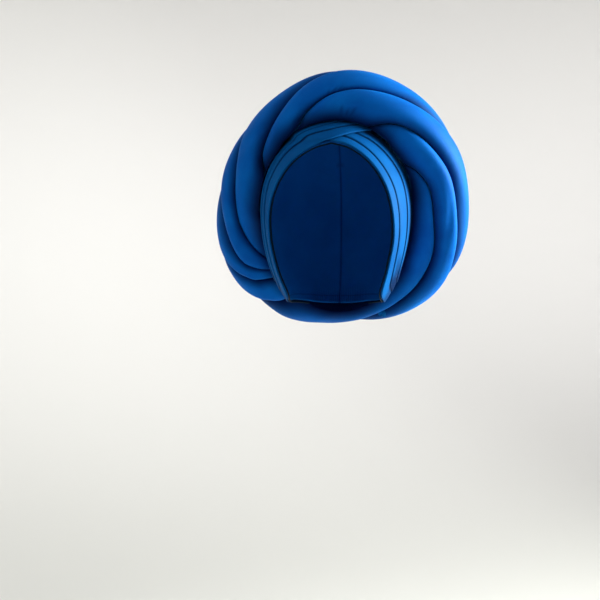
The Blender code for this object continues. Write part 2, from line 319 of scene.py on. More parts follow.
# The third blue of each is the painted shade colour, painted into folds, grooves and under the
# halo.
HALO_BLUE = ((0.0015, 0.092, 0.44), (0.002, 0.125, 0.52), (0.001, 0.004, 0.05))
BAND_BLUE = ((0.0015, 0.072, 0.27), (0.002, 0.092, 0.32), (0.001, 0.003, 0.03))
CAP_BLUE = ((0.0015, 0.075, 0.35), (0.002, 0.09, 0.40), (0.001, 0.02, 0.14))
EDGE_NAVY = ((0.001, 0.002, 0.014), (0.001, 0.003, 0.02), (0.001, 0.001, 0.01))
halo_jersey = jersey_material(
    "halo_jersey", (0.76, 0.2), HALO_BLUE, roughness=0.56, bump=0.25, gloss=0.08
)
band_jersey = jersey_material(
    "band_jersey", (0.42, 0.045), BAND_BLUE, roughness=0.6, bump=0.2, sheen=0.1, gloss=0.05
)
cap_jersey = jersey_material(
    "cap_jersey", (0.55, 0.26), CAP_BLUE, roughness=0.6, sheen=0.25, gloss=0.08
)
binding_jersey = jersey_material(
    "binding_jersey", (0.5, 0.006), EDGE_NAVY, roughness=0.8, sheen=0.0
)
print("materials:", [m.name for m in (halo_jersey, band_jersey, cap_jersey, binding_jersey)])

# %% [markdown]
# ## Places on the head
# The cap is sewn to fit a head, so its cloth lies at so many millimetres over an egg shape. A
# place on it is a direction from the middle of the head: a turn away from straight ahead and a
# rise above level. All sizes from here on are millimetres and degrees.

# %% The egg under the cap
MM = 0.001
HEAD_CENTRE = np.array([0.0, 0.0, -100.0])
HEAD_HALF_WIDTH = 80.0
HEAD_FRONT = 96.0
HEAD_BACK = 98.0
HEAD_ABOVE = 100.0
HEAD_BELOW = 125.0


def smoothstep(x):
    """From 0 to 1 as x goes from 0 to 1, slowly at both ends."""
    x = np.clip(x, 0.0, 1.0)
    return x * x * (3 - 2 * x)


def unit(rows):
    """Each row as a direction, one long."""
    return rows / np.linalg.norm(rows, axis=-1, keepdims=True)


def direction(turn, rise):
    """The way that a turn from straight ahead and a rise above level point."""
    turn, rise = np.radians(turn), np.radians(rise)
    return np.stack([np.cos(rise) * np.sin(turn), -np.cos(rise) * np.cos(turn), np.sin(rise)], -1)


def head_radius(way):
    """How far the head's surface is from its middle, that way."""
    depth = np.where(way[..., 1] < 0, HEAD_FRONT, HEAD_BACK)
    height = np.where(way[..., 2] > 0, HEAD_ABOVE, HEAD_BELOW)
    across = way[..., 0] / HEAD_HALF_WIDTH
    return 1 / np.sqrt(across**2 + (way[..., 1] / depth) ** 2 + (way[..., 2] / height) ** 2)


def over_head(way, lift):
    """The place that way, so many millimetres over the head."""
    way = unit(way)
    return HEAD_CENTRE + way * (head_radius(way) + lift)[..., None]


print("crown at", over_head(direction(0.0, 90.0), np.array(0.0)).round(1))

# %% [markdown]
# ## From numbers to cloth
# Most pieces here are swept shapes: a row of cross-sections joined by four-sided faces. One
# helper makes all of them. It also lays the cloth map, with the length of the piece along one
# side and the way across it along the other, so the knit follows the cloth round every bend, and
# it stores a painted-shade mask, from 0 where the blue is painted darkest as shade in a fold to 1
# where no shade is painted. Where a tube of cloth ends, a flat face closes it.

# %% Swept cloth
def swept(name, sections, material, fold, rows_meet=False, columns_meet=False):
    """A smooth mesh through the sections: an array of rows of points in millimetres."""
    rows, columns = sections.shape[:2]
    r = np.arange(rows if rows_meet else rows - 1)
    c = np.arange(columns if columns_meet else columns - 1)
    r, c = (grid.ravel() for grid in np.meshgrid(r, c, indexing="ij"))
    corners = ((r, c), (r, c + 1), (r + 1, c + 1), (r + 1, c))
    faces = np.stack([(a % rows) * columns + b % columns for a, b in corners], -1)
    steps = np.linalg.norm(np.diff(sections, axis=1, append=sections[:, :1]), axis=2).mean(0)
    across = np.concatenate([[0], np.cumsum(steps)])
    across = across / across[columns if columns_meet else columns - 1]
    along = np.arange(rows + 1) / (rows if rows_meet else rows - 1)
    grid = np.arange(rows * columns).reshape(rows, columns)
    ends = [grid[0, ::-1], grid[-1]] if columns_meet and not rows_meet else []
    ends = [grid[:, 0], grid[::-1, -1]] if rows_meet and not columns_meet else ends
    mesh = bpy.data.meshes.new(name)
    points = (sections.reshape(-1, 3) * MM).tolist()
    mesh.from_pydata(points, [], faces.tolist() + [end.tolist() for end in ends])
    cloth_map = mesh.uv_layers.new(name="cloth")
    places = [np.stack([np.stack([along[a], across[b]], -1) for a, b in corners], 1).reshape(-1, 2)]
    places += [np.stack([along[end // columns], across[end % columns]], -1) for end in ends]
    cloth_map.uv.foreach_set("vector", np.concatenate(places).astype(np.float32).ravel())
    # The fold attribute is a painted-shade mask: where it is low the material paints the blue
    # darker.
    stored = mesh.attributes.new("fold", "FLOAT", "POINT")
    painted_shade_values = np.broadcast_to(fold, (rows, columns)).astype(np.float32)
    stored.data.foreach_set("value", painted_shade_values.ravel())
    mesh.shade_smooth()
    mesh.materials.append(material)
    made = bpy.data.objects.new(name, mesh)
    bpy.context.scene.collection.objects.link(made)
    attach(made, "root")
    print(name, len(faces) * 2, "triangles")
    return made


def eased(a, b, c, d, t):
    """A smooth curve from b to c, where a comes before them and d after."""
    bend = t**2 * (2 * a - 5 * b + 4 * c - d) / 2
    swing = t**3 * (3 * b - a - 3 * c + d) / 2
    return b + t * (c - a) / 2 + bend + swing


print("half way along an eased step:", eased(0, 0, 1, 1, 0.5))

# %% [markdown]
# ## Slack
# No cloth lies perfectly even. A sum of a few slow waves, with a fixed seed so that it comes out
# the same every time, gives soft long folds that no one can see repeat.

# %% Soft random folds
def waves(seed, count, turns, ripple, share):
    """Soft folds of about 1 at most. The share is a place along a closed ring and one across
    it, and ripple how many folds there are across."""
    draw = np.random.default_rng(seed)
    total = 0 * share[0]
    for _ in range(count):
        around = int(draw.integers(1, turns))
        crosswise = draw.uniform(*ripple) * draw.choice((-1, 1))
        place = around * share[0] + crosswise * share[1]
        total = total + np.cos(math.tau * place + draw.uniform(0, math.tau))
    return total / math.sqrt(count) / 1.6


print("slack waves are ready, each with its own fixed seed")

# %% [markdown]
# ## The halo's twist
# The halo is a fat ring of four padded rolls twisted round each other. Its middle line is a
# tilted oval that leans back from the forehead to behind the jaw. Seen across, the ring is a
# rounded tube, and four valleys run round it, each making two turns on its way round the head.
# The valleys' places are what gives this turban its own pattern of rolls, so they are a table.

# %% The ring's sizes and its four valleys
HALO_CENTRE = np.array([4.0, 21.5, -89.7])
HALO_TILT = math.radians(28.0)
ACROSS = np.array([1.0, 0.0, 0.0])
UPWARD = np.array([0.0, -math.sin(HALO_TILT), math.cos(HALO_TILT)])
FORWARD = np.array([0.0, -math.cos(HALO_TILT), -math.sin(HALO_TILT)])
HALO_SIZES = (
    # clock, core_radius, half_height, half_depth
    (0, 123, 30, 36),
    (30, 120, 30, 36),
    (60, 113.5, 31, 36),
    (90, 110.5, 32, 36),
    (120, 120, 32, 34),
    (150, 126, 27, 31),
    (180, 124, 24, 28),
    (210, 129.5, 28, 31),
    (240, 125, 30, 34),
    (270, 111, 31, 36),
    (300, 106, 30, 36),
    (330, 112, 29, 36),
)
FOLDS = (
    # clock and around, in pairs
    ((-47, 180), (-21, 105), (-6, 73), (6, 57), (36, 30), (58, 0), (135, -90), (212, -185),
     (224, -236), (236, -286), (243, -310), (254, -360), (313, -540)),
    ((0, 185), (24, 110), (45, 80), (70, 60), (95, 55), (115, 50), (130, 28), (145, 0),
     (180, -90), (218, -185), (231, -242), (246, -274), (265, -304), (277, -325), (290, -360),
     (325, -450), (360, -535)),
    ((30, 185), (55, 123), (73, 109), (100, 107), (130, 99), (150, 92), (165, 70), (180, 20),
     (205, -90), (224, -195), (231, -222), (247, -241), (265, -264), (281, -285), (294, -305),
     (304, -330), (312, -360), (350, -450), (390, -535)),
    ((196, 180), (206, 130), (213, 96), (220, 64), (228, 30), (237, 0), (262, -90), (290, -185),
     (300, -235), (309, -262), (322, -285), (336, -315), (346, -338), (362, -360), (450, -440),
     (530, -510), (556, -540)),
)
print(len(FOLDS), "valleys")

# %% [markdown]
# ## From tables to smooth lines
# Cloth doesn't turn corners, so the sizes run through their rows on a smooth curve and each
# valley is averaged over ten degrees to either side. The ring is measured at every half degree.

# %% Sizes and valleys all the way round
STATIONS = 720
clock = np.arange(STATIONS) * 360 / STATIONS


def ring_size(column):
    """That column of the sizes at every station, smooth through the rows."""
    sizes = np.array(HALO_SIZES, float)[:, column]
    place = clock / 360 * len(sizes)
    i = place.astype(int)
    return eased(*(sizes[(i + k) % len(sizes)] for k in (-1, 0, 1, 2)), place - i)


def valley_place(fold):
    """Where a valley lies around the tube at every station, eased over ten degrees."""
    clocks, arounds = np.array(fold, float).T
    near = np.linspace(-10, 10, 21)
    weights = np.cos(near / 10.5 * math.pi / 2) ** 2
    total = 0
    for shift, weight in zip(near, weights / weights.sum()):
        turns = np.floor((clock + shift - clocks[0]) / 360)
        place = np.interp(clock + shift - 360 * turns, clocks, arounds) - 720 * turns
        total = total + weight * place
    return total


core, half_height, half_depth = (ring_size(column) for column in (1, 2, 3))
valleys = [valley_place(fold) for fold in FOLDS]
print("valleys at the top:", [round(float(v[0])) for v in valleys])

# %% [markdown]
# ## A roll's section
# Cut across, a roll is a slice of the tube, like a slice of a round cake. Its outer edge is a
# proud rounded lip that hangs a few millimetres over the roll outside it. From the lip the cloth
# rises quickly to its crest, falls slowly towards the next roll, and dives under that roll's lip.
# The lip is a piece of an ellipse that starts below its own tip, which gives the undercut, and
# the undercut gives the thin dark line that makes twisted cloth look twisted.

# %% The section's curve
VALLEY = 0.36
FULL_VALLEY_WIDTH = 70.0
CREST_AT = 0.22
OVERHANG = 5.0
TIP_LEVEL = 0.34
TUCK = 0.30
TUCK_WIDTH = 10.0
NARROW_OVERHANG = 0.15
NARROW_TUCK = 0.3
HELD_BY_CAP = 0.8
LIP = np.linspace(-34, 90, 20)
BODY = np.linspace(0, 1, 37)[1:]


def valley_depth(place, width):
    """How deep a valley is between two rolls, less so against the cap."""
    inward = smoothstep(-np.cos(np.radians(place)))
    return VALLEY * np.minimum(1, width / FULL_VALLEY_WIDTH) * (1 - HELD_BY_CAP * inward)


def roll_outline(k):
    """Angle around the tube and swell of one roll's cloth, from under its lip to its tuck."""
    all_valleys = [valleys[-1] - 360] + valleys + [valleys[0] + 360, valleys[1] + 360]
    first, low, high, second = all_valleys[k : k + 4]
    width, before, beyond = high - low, low - first, second - high
    deep_low = valley_depth(low, (width + before) / 2)[:, None]
    deep_high = valley_depth(high, (width + beyond) / 2)[:, None]
    overhang = np.minimum(OVERHANG, NARROW_OVERHANG * np.minimum(width, before))[:, None]
    to_crest = (CREST_AT * width)[:, None]
    lift = np.radians(LIP)
    lip_angle = low[:, None] + to_crest - (to_crest + overhang) * np.cos(lift)
    lip_swell = 1 - deep_low * (1 - TIP_LEVEL) * (1 - np.sin(lift))
    body_angle = low[:, None] + width[:, None] * (CREST_AT + (1 - CREST_AT) * BODY)
    tuck_width = np.minimum(TUCK_WIDTH, NARROW_TUCK * width)[:, None]
    tuck = TUCK * smoothstep(1 + (body_angle - high[:, None]) / tuck_width)
    body_swell = 1 - deep_high * (BODY**3 + tuck)
    angle = np.concatenate([lip_angle, body_angle], 1)
    return angle, np.concatenate([lip_swell, body_swell], 1)


print("a roll's section has", len(LIP) + len(BODY), "points")

# %% [markdown]
# ## Points on the tube
# The section is drawn in degrees around the tube and in shares of its size, and one helper turns
# both into places. Towards the head the tube reaches further in, so the padding can settle there.

# %% From a section to places
ROLL_GAP = 0.4
HUG = 18.0


def on_tube(angle, swell, inset=0.0):
    """Points of the tube's sections; inset moves them sideways round the tube."""
    a = np.radians(angle)
    reach = half_height[:, None] + HUG * (np.cos(a) < 0)
    flat_out, flat_on = swell * reach * np.cos(a), swell * half_depth[:, None] * np.sin(a)
    far = np.hypot(flat_out, flat_on)
    flat_out, flat_on = flat_out - inset * flat_on / far, flat_on + inset * flat_out / far
    turn = np.radians(clock)[:, None]
    outward = np.sin(turn)[..., None] * ACROSS + np.cos(turn)[..., None] * UPWARD
    ring = (core[:, None] + flat_out)[..., None] * outward
    return HALO_CENTRE + ring + flat_on[..., None] * FORWARD


width = (valleys[1] - valleys[0])[0]
print("at the top the first roll is", round(float(width)), "degrees wide")

# %% [markdown]
# ## The halo against the head
# The padding is soft, so where a roll meets the cap or the bands it gives way and lies on them.
# Every point that would be inside is moved out, with a soft change so the roll flattens without
# an edge.

# %% Settling on the cap
CAP_WALL = 1.8
BAND_WALL = 1.5
BAND_SEAT = 2.2
PLEAT_RISE = 0.8
CROSSING_RISE = 2.6
ROLL_REST = 0.8
SOFTNESS = 3.0
BANDS_END_BACK = -0.2
BELOW_EARS_UP = -0.5
BEHIND_EARS_BACK = 0.75
CROSSING_ACROSS = 0.68
CROSSING_UP = 0.6
EASE = 0.12


def halo_clearance(way):
    """How far the halo keeps off the head: the cap, then the bands, then their crossing."""
    across, back, up = np.moveaxis(way, -1, 0)
    last = BANDS_END_BACK - 0.1 * smoothstep((up - 0.45) / 0.4)
    before_ears = smoothstep((last - back) / EASE + 1)
    low_down = smoothstep((BELOW_EARS_UP - up) / EASE)
    below_ears = low_down * smoothstep((BEHIND_EARS_BACK - back) / EASE)
    on_bands = np.maximum(before_ears, below_ears)
    in_the_middle = smoothstep((CROSSING_ACROSS - abs(across)) / EASE)
    on_crossing = smoothstep((up - CROSSING_UP) / 0.1) * in_the_middle
    bands = BAND_SEAT + BAND_WALL + PLEAT_RISE - CAP_WALL
    return CAP_WALL + ROLL_REST + bands * on_bands + CROSSING_RISE * on_crossing * before_ears


def from_head(points):
    """Each point's direction from the middle of the head, and how far away it is."""
    way = points - HEAD_CENTRE
    far = np.linalg.norm(way, axis=-1)
    return way / far[..., None], far


def settled(points):
    """The points, with those that would be inside the cap or the bands moved out onto them."""
    way, far = from_head(points)
    least = head_radius(way) + halo_clearance(way)
    far = least + SOFTNESS * np.logaddexp(0, (far - least) / SOFTNESS)
    return HEAD_CENTRE + way * far[..., None]


print("over the forehead the halo keeps", halo_clearance(direction(0.0, 60.0)).round(1), "mm off")

# %% [markdown]
# ## Dents and creases
# Where the twist is tight, cloth pulled over padding gathers in short dents. They are placed one
# by one, each a soft hollow at its own slant, and the narrowest are sharp creases. The first row
# is the other way round: a bulge.

# %% Where the cloth is dented
DENTS = (
    # roll, clock, around, slant, half_length, half_width, depth
    (3, 284, 126, 0, 60, 18, -7),
    (4, 270, 60, 6, 40, 7, 1.3),
    (4, 356.6, 58, 106, 4, 2.0, 0.9),
    (4, 359.2, 54, 128, 6, 2.0, 1.2),
    (4, 361.8, 51, 120, 4, 1.8, 0.8),
    (1, 2.6, 93, 110, 5, 2.1, 0.8),
    (1, 5.6, 97, 116, 4, 2.0, 0.8),
    (1, 8.6, 95, 129, 6, 2.2, 1.2),
    (1, 345, 60, 30, 16, 3.5, 1.2),
    (3, 318, 50, 12, 26, 5, 1.3),
    (2, 40, 92, -14, 24, 4.5, 1.2),
    (3, 64, 128, -30, 12, 3.2, 1.2),
    (2, 96, 75, 8, 30, 5, 1.2),
    (1, 232, 70, 18, 14, 3.5, 1.3),
    (2, 236, 40, 15, 14, 3.5, 1.2),
    (3, 228, 110, 24, 12, 3.2, 1.2),
    (4, 214, 66, 20, 14, 3.5, 1.2),
    (2, 168, 52, -20, 14, 3.5, 1.2),
    (1, 176, -30, -16, 16, 4, 1.3),
    (3, 190, 10, 14, 18, 4, 1.4),
    (4, 120, -60, -12, 26, 5, 1.3),
    (1, 300, -40, 10, 30, 5, 1.3),
    (3, 20, -70, 12, 26, 5, 1.2),
)
SHARP = 3.0
print(len(DENTS), "dents,", sum(row[5] < SHARP for row in DENTS), "of them creases")

# %% [markdown]
# ## Long folds
# Long shallow folds run with the roll. They are slack waves, and the dents are pressed into the
# cloth on top of them. A crease also gets painted shade like any fold, so it is handed on as a
# mask.

# %% Folds and dents together
TUBE_RADIUS = 34
LONG_FOLD = 0.45
FOLD_SPAN = 90


def dented(k, angle):
    """Millimetres of rise and fall of roll k's cloth, at each angle around the tube, and how
    far into a sharp crease each place is, from 0 to 1."""
    across = (angle - angle[:, :1]) / FOLD_SPAN
    share = (np.broadcast_to(clock[:, None] / 360, angle.shape), across)
    rise = LONG_FOLD * waves(10 + k, 9, 7, (0.4, 1.6), share)
    crease = np.zeros(angle.shape)
    for roll, at_clock, at_around, slant, half_length, half_width, depth in DENTS:
        if roll != k + 1:
            continue
        along = np.radians((clock[:, None] - at_clock + 180) % 360 - 180) * core[:, None]
        over = np.radians((angle - at_around + 180) % 360 - 180) * TUBE_RADIUS
        tilt = math.radians(slant)
        with_it = along * math.cos(tilt) + over * math.sin(tilt)
        cross = over * math.cos(tilt) - along * math.sin(tilt)
        hollow = np.exp(-((with_it / half_length) ** 2) - (cross / half_width) ** 2)
        rise = rise - depth * hollow
        if half_width < SHARP:
            crease = np.maximum(crease, hollow**2)
    return rise, crease


print("the deepest dent is", max(row[6] for row in DENTS), "mm deep")

# %% [markdown]
# ## Painted shade on the rolls
# The light that reaches a fold falls off before the fold closes, so the blue is painted darker
# over some way as shade. A roll is unshaded from its lip over its crest, painted darker towards
# the next roll, and painted darker as it nears the cap or the bands. Over the forehead the rolls
# press so close that the painted dark strip under the lip is narrower there.

# %% A mask for each roll
HEAD_SHADE = 21.0
SHADE_END = 0.98
SHADE_WIDTH = 0.62
TIGHT_ROLL = 3
TIGHT_CLOCK = 8
TIGHT_REACH = 28
TIGHT_EASE = 16
TIGHT_SHARE = 0.3
CREASE_SHADE = 0.34


def painted_shade_near_head(points):
    """Painted shade near the head, from 0 where the cloth lies on the cap or bands to 1 well clear.
    """
    way, far = from_head(points)
    return smoothstep((far - head_radius(way) - halo_clearance(way)) / HEAD_SHADE)


def painted_shade_on_roll(k, crease):
    """The painted shade across roll k's cloth, from its lip to its tuck, with creases painted
    darker.
    """
    open_lip = np.broadcast_to(smoothstep((LIP - LIP[0]) / -LIP[0]), (STATIONS, len(LIP)))
    from_tight = np.abs((clock - TIGHT_CLOCK + 180) % 360 - 180)
    tight = smoothstep((TIGHT_REACH - from_tight) / TIGHT_EASE) * (k == TIGHT_ROLL)
    shade_width = SHADE_WIDTH - TIGHT_SHARE * tight[:, None]
    open_body = smoothstep((SHADE_END - BODY) / shade_width)
    return np.concatenate([open_lip, open_body], 1) * (1 - CREASE_SHADE * crease)


print("the dark strip is up to", round(100 * SHADE_WIDTH), "% of a roll's slope")

# %% [markdown]
# ## Four padded rolls
# Each roll is a closed tube of cloth: its outside is the section with the dents pressed in, and
# two flat sides run down towards the ring's middle line, where the neighbours press against it.
# The dents fade out near the valleys, because cloth that is pulled into a fold lies tight. Each
# roll is cloth round a soft filling.

# %% The rolls' cloth
SIDE_POINTS = 6
CALM_BELOW = 0.78
CALM_EASE = 0.12
sides = np.linspace(0.12, 0.96, SIDE_POINTS)
hidden = np.zeros((STATIONS, SIDE_POINTS))
for k in range(len(FOLDS)):
    angle, swell = roll_outline(k)
    calm = smoothstep((swell - CALM_BELOW) / CALM_EASE)
    rise, crease = dented(k, angle)
    swell = swell + calm * rise / TUBE_RADIUS
    first_angle, last_angle = (np.repeat(angle[:, [c]], SIDE_POINTS, axis=1) for c in (0, -1))
    first_side = on_tube(first_angle, swell[:, :1] * sides, ROLL_GAP / 2)
    last_side = on_tube(last_angle, swell[:, -1:] * sides[::-1], -ROLL_GAP / 2)
    sections = settled(np.concatenate([first_side, on_tube(angle, swell), last_side], 1))
    # Painted shade: hidden sides painted fully dark, the rest by the section's mask, darker near
    # the cap and bands.
    fold = np.concatenate([hidden, painted_shade_on_roll(k, crease), hidden], 1)
    fold = fold * painted_shade_near_head(sections)
    name = f"halo_roll_{k + 1}"
    roll = swept(f"{name}_cloth", sections, halo_jersey, fold, True, True)
    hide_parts(name)

# %% [markdown]
# ## The bands' lines
# On each side three flat pleats run from under the halo over the forehead, down past the face and
# below the ear to the nape. Four lines bound them. The first is the edge of the face opening, the
# last is where the halo covers them, and the two between lie at a share of the way.

# %% Four lines on either side
STRIP = (
    # right_turn, left_turn, edge_rise, last_turn, last_rise, right_first, right_second,
    # left_first, left_second
    (-42, -42, 54, -32, 67, 0.40, 0.70, 0.45, 0.75),
    (-17, -17, 47, -5, 64, 0.36, 0.68, 0.42, 0.72),
    (0, 0, 41, 11, 61, 0.32, 0.64, 0.42, 0.70),
    (14, 15, 37, 30, 58, 0.26, 0.60, 0.42, 0.68),
    (27, 30, 28, 54, 51, 0.20, 0.57, 0.40, 0.66),
    (37, 41, 14, 74, 31, 0.19, 0.60, 0.35, 0.64),
    (43, 48, -2, 76, 8, 0.22, 0.66, 0.32, 0.62),
    (47, 51, -20, 77, -15, 0.24, 0.70, 0.30, 0.62),
    (48, 52, -38, 78, -33, 0.28, 0.72, 0.32, 0.64),
    (53, 55, -54, 82, -42, 0.34, 0.72, 0.36, 0.68),
    (68, 69, -60, 90, -44, 0.40, 0.72, 0.40, 0.72),
    (90, 90, -62, 103, -45, 0.40, 0.72, 0.40, 0.72),
    (118, 118, -61, 122, -45, 0.40, 0.72, 0.40, 0.72),
    (142, 142, -60, 141, -45, 0.40, 0.72, 0.40, 0.72),
)
BAND_STEPS = 260


def through(rows, count):
    """Points spaced evenly along a smooth line through the rows."""
    rows = np.array(rows, float)
    knots = np.vstack([2 * rows[0] - rows[1], rows, 2 * rows[-1] - rows[-2]])
    at = np.linspace(0, len(rows) - 1, 40 * len(rows))
    i = np.minimum(at.astype(int), len(rows) - 2)
    t = (at - i)[:, None]
    fine = eased(*(knots[i + k] for k in range(4)), t)
    along = np.concatenate([[0], np.cumsum(np.linalg.norm(np.diff(fine, axis=0), axis=1))])
    want = np.linspace(0, along[-1], count)
    return np.stack([np.interp(want, along, column) for column in fine.T], -1)


def pleat_lines(hand):
    """Turns and rises of one side's four lines, from the cap's edge to the last pleat line."""
    rows = np.array(STRIP, float)
    turn = rows[:, 0 if hand > 0 else 1]
    rise, last_turn, last_rise = rows[:, 2], rows[:, 3], rows[:, 4]
    first, second = rows[:, 5:7].T if hand > 0 else rows[:, 7:9].T
    lines = []
    for share in (0 * rise, first, second, 1 + 0 * rise):
        line = np.stack([turn + (last_turn - turn) * share, rise + (last_rise - rise) * share], -1)
        lines.append((through(line, BAND_STEPS) * (hand, 1)).T)
    return lines


print("right edge line starts at turn, rise", pleat_lines(1)[0][:, 0].round(1))

# %% [markdown]
# ## Pleats
# Each pleat is cloth folded double and pressed. Its edge on the face side is a rounded fold that
# lies on the pleat before it, which with painted shade under each fold draws the dark lines
# between the bands. Across, it is barely crowned and slips under the next fold. The left-hand set
# climbs over the right-hand one in the middle of the forehead.

# %% A pleat's section
BAND_TOP = np.array(
    [
        # across, lift over the seat
        (-0.02, 0.75), (-0.05, 1.1), (-0.055, 1.5), (-0.035, 1.95), (0.0, 2.2), (0.06, 2.32),
        (0.14, 2.3), (0.25, 2.22), (0.38, 2.12), (0.52, 2.0), (0.66, 1.86), (0.78, 1.72),
        (0.88, 1.55), (0.95, 1.38), (0.99, 1.15), (1.0, 0.85), (0.985, 0.55),
    ]
)
BAND_UNDER = np.array([(0.93, 0.35), (0.8, 0.3), (0.6, 0.3), (0.4, 0.35), (0.2, 0.45), (0.08, 0.6)])


def rounded(section):
    """The closed outline with its corners cut once, so it has twice the points."""
    after = np.roll(section, -1, axis=0)
    cuts = [0.75 * section + 0.25 * after, 0.25 * section + 0.75 * after]
    return np.stack(cuts, 1).reshape(-1, 2)


outline = rounded(np.vstack([BAND_TOP, BAND_UNDER]))
print("a pleat's section has", len(outline), "points")

# %% [markdown]
# ## Painted shade on the pleats
# A pleat is painted dark under its own fold and where it goes under the next one. The outermost
# pleat of each set is painted dark as the halo's shadow. On the right the two outer pleats are
# painted into shade low down, where they turn in behind the first, and on both sides the ends
# below the ear, deep under the halo, are painted dark as shade.

# %% A mask for each pleat
OUTER_SHADE = 0.8
NAPE_TURN = 100
LOW_RISE = -28
LOW_SHADE = 0.6
POINT_RISE = -40
POINT_SHADE = 0.85
EAR_TURN = 60
EAR_RISE = -36
EAR_SHADE = 0.6


def painted_shade_on_pleat(hand, k, turn, rise):
    """The painted shade on pleat k's cloth: one row for each place along it, the section across."""
    across, lift = outline.T
    fold = smoothstep((lift - 0.45) / 0.5) * smoothstep((0.95 - across) / 0.2)
    if k == 2:
        fold = fold * (1 - OUTER_SHADE * smoothstep((across - 0.05) / 0.45))
    if hand > 0 and k > 0:
        before_nape = smoothstep((NAPE_TURN - turn) / 20)
        low_down = smoothstep((LOW_RISE - rise) / 12) * smoothstep((across - 0.04) / 0.16)
        at_point = smoothstep((POINT_RISE - rise) / 8)
        shade = np.maximum(LOW_SHADE * low_down, POINT_SHADE * at_point)
        fold = fold * (1 - before_nape * shade)
    under_ear = smoothstep((np.abs(turn) - EAR_TURN) / 12) * smoothstep((EAR_RISE - rise) / 8)
    return fold * (1 - EAR_SHADE * under_ear)


first_pleat_shade = painted_shade_on_pleat(1, 0, 0.0, 0.0)
print("across a first pleat the cloth is", first_pleat_shade.mean().round(2), "open on average")

# %% [markdown]
# ## Six pleats
# Each pleat follows two of the lines, at the height of the section over its seat on the cap. A
# little slack keeps the long edges from looking ruled. Where the left-hand set meets the
# right-hand one it is lifted over it, along a slanting line over the forehead. A pleat is a
# folded sheet.

# %% Pressed pleats on both sides
PLEAT_MARGIN = 0.03
PLEAT_SINK = 0.3
CROSSING_LINE = 41
CROSSING_SLANT = 0.3
CROSSING_BEFORE = 7
CROSSING_EASE = 5
PLEAT_SLACK = 0.12
SLACK_ABOVE = 1.2
for hand, label in ((1, "right"), (-1, "left")):
    lines = pleat_lines(hand)
    for k in range(3):
        (near_turn, near_rise), (far_turn, far_rise) = lines[k], lines[k + 1]
        share = PLEAT_MARGIN + (1 - 2 * PLEAT_MARGIN) * outline[:, 0]
        turn = near_turn[:, None] + (far_turn - near_turn)[:, None] * share
        rise = near_rise[:, None] + (far_rise - near_rise)[:, None] * share
        lift = BAND_SEAT - PLEAT_SINK + outline[:, 1] + 0 * turn
        if hand < 0:
            over_line = rise - CROSSING_LINE + CROSSING_SLANT * np.minimum(turn, 0)
            over = smoothstep((over_line + CROSSING_BEFORE) / CROSSING_EASE)
            lift = lift + CROSSING_RISE * over
        along = np.linspace(0, 1, BAND_STEPS)[:, None]
        places = (along + 0 * turn, share + 0 * turn)
        slack = waves(40 + 3 * hand + k, 7, 9, (0.2, 0.8), places)
        lift = lift + PLEAT_SLACK * slack * smoothstep((outline[:, 1] - SLACK_ABOVE) / 0.5)
        sections = over_head(direction(turn, rise), lift)
        fold = painted_shade_on_pleat(hand, k, turn, rise)
        if hand > 0:
            sections, fold = sections[:, ::-1], fold[:, ::-1]
        name = f"{label}_band_{k + 1}"
        band = swept(f"{name}_cloth", sections, band_jersey, fold, False, True)
        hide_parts(name)

# %% [markdown]
# ## The tucked end
# Low on the right the end of the cloth is folded under the halo, and one small corner of it shows
# on the roll. It is a short tongue with a lens-shaped section. Its points are taken from the
# roll's own section, a little proud of it, so that it lies on the roll whatever shape that has.

# %% The corner of cloth on the second roll
CORNER_ROLL = 1
CORNER_CLOCKS = (161.0, 159.5)
CORNER_ANGLES = (76.0, 46.0)
CORNER_PROUD = 0.035
CORNER_HALF_WIDTHS = (2.5, 4.2, 4.4, 2.6, 0.5)
CORNER_THICKNESS = 0.7
CORNER_STEPS = 24


def between(ends, share):
    """That share of the way from one end to the other."""
    return ends[0] + share * (ends[1] - ends[0])


def round_tube(count):
    """That many angles, evenly round a tube."""
    return np.linspace(0, math.tau, count + 1)[:-1]


angle, swell = roll_outline(CORNER_ROLL)
roll_face = settled(on_tube(angle, swell + CORNER_PROUD))
corner_line = []
for share in np.linspace(0, 1, CORNER_STEPS):
    station = int(round(STATIONS / 360 * between(CORNER_CLOCKS, share)))
    want = between(CORNER_ANGLES, share)
    place = (angle[station, len(LIP):] - want + 180) % 360 - 180
    corner_line.append([np.interp(0, place, column) for column in roll_face[station, len(LIP):].T])
corner_line = np.array(corner_line)
given_at = np.linspace(0, 1, len(CORNER_HALF_WIDTHS))
half_width = np.interp(np.linspace(0, 1, CORNER_STEPS), given_at, CORNER_HALF_WIDTHS)
with_line = np.gradient(corner_line, axis=0)
beside = unit(np.cross(with_line, FORWARD))
proud = unit(np.cross(beside, with_line))
a = round_tube(24)[:, None]
corner = corner_line[:, None] + half_width[:, None, None] * np.cos(a) * beside[:, None]
corner = corner + CORNER_THICKNESS * np.sin(a) * proud[:, None]
corner = swept("folded_corner", corner, band_jersey, 1.0, False, True)
print("the corner lies from", corner_line[0].round(1), "to", corner_line[-1].round(1))

# %% [markdown]
# ## The cap
# The cap is one stretched layer from the back of the crown to the hem all round. Its outside is
# hidden by the halo in front and shows as a smooth dome behind, and its inside shows through the
# face opening. It could be a cut and pinched sphere, but its hem has to follow the bands' edge
# line exactly, so it is made as rings between a pole at the back of the crown and the hem.

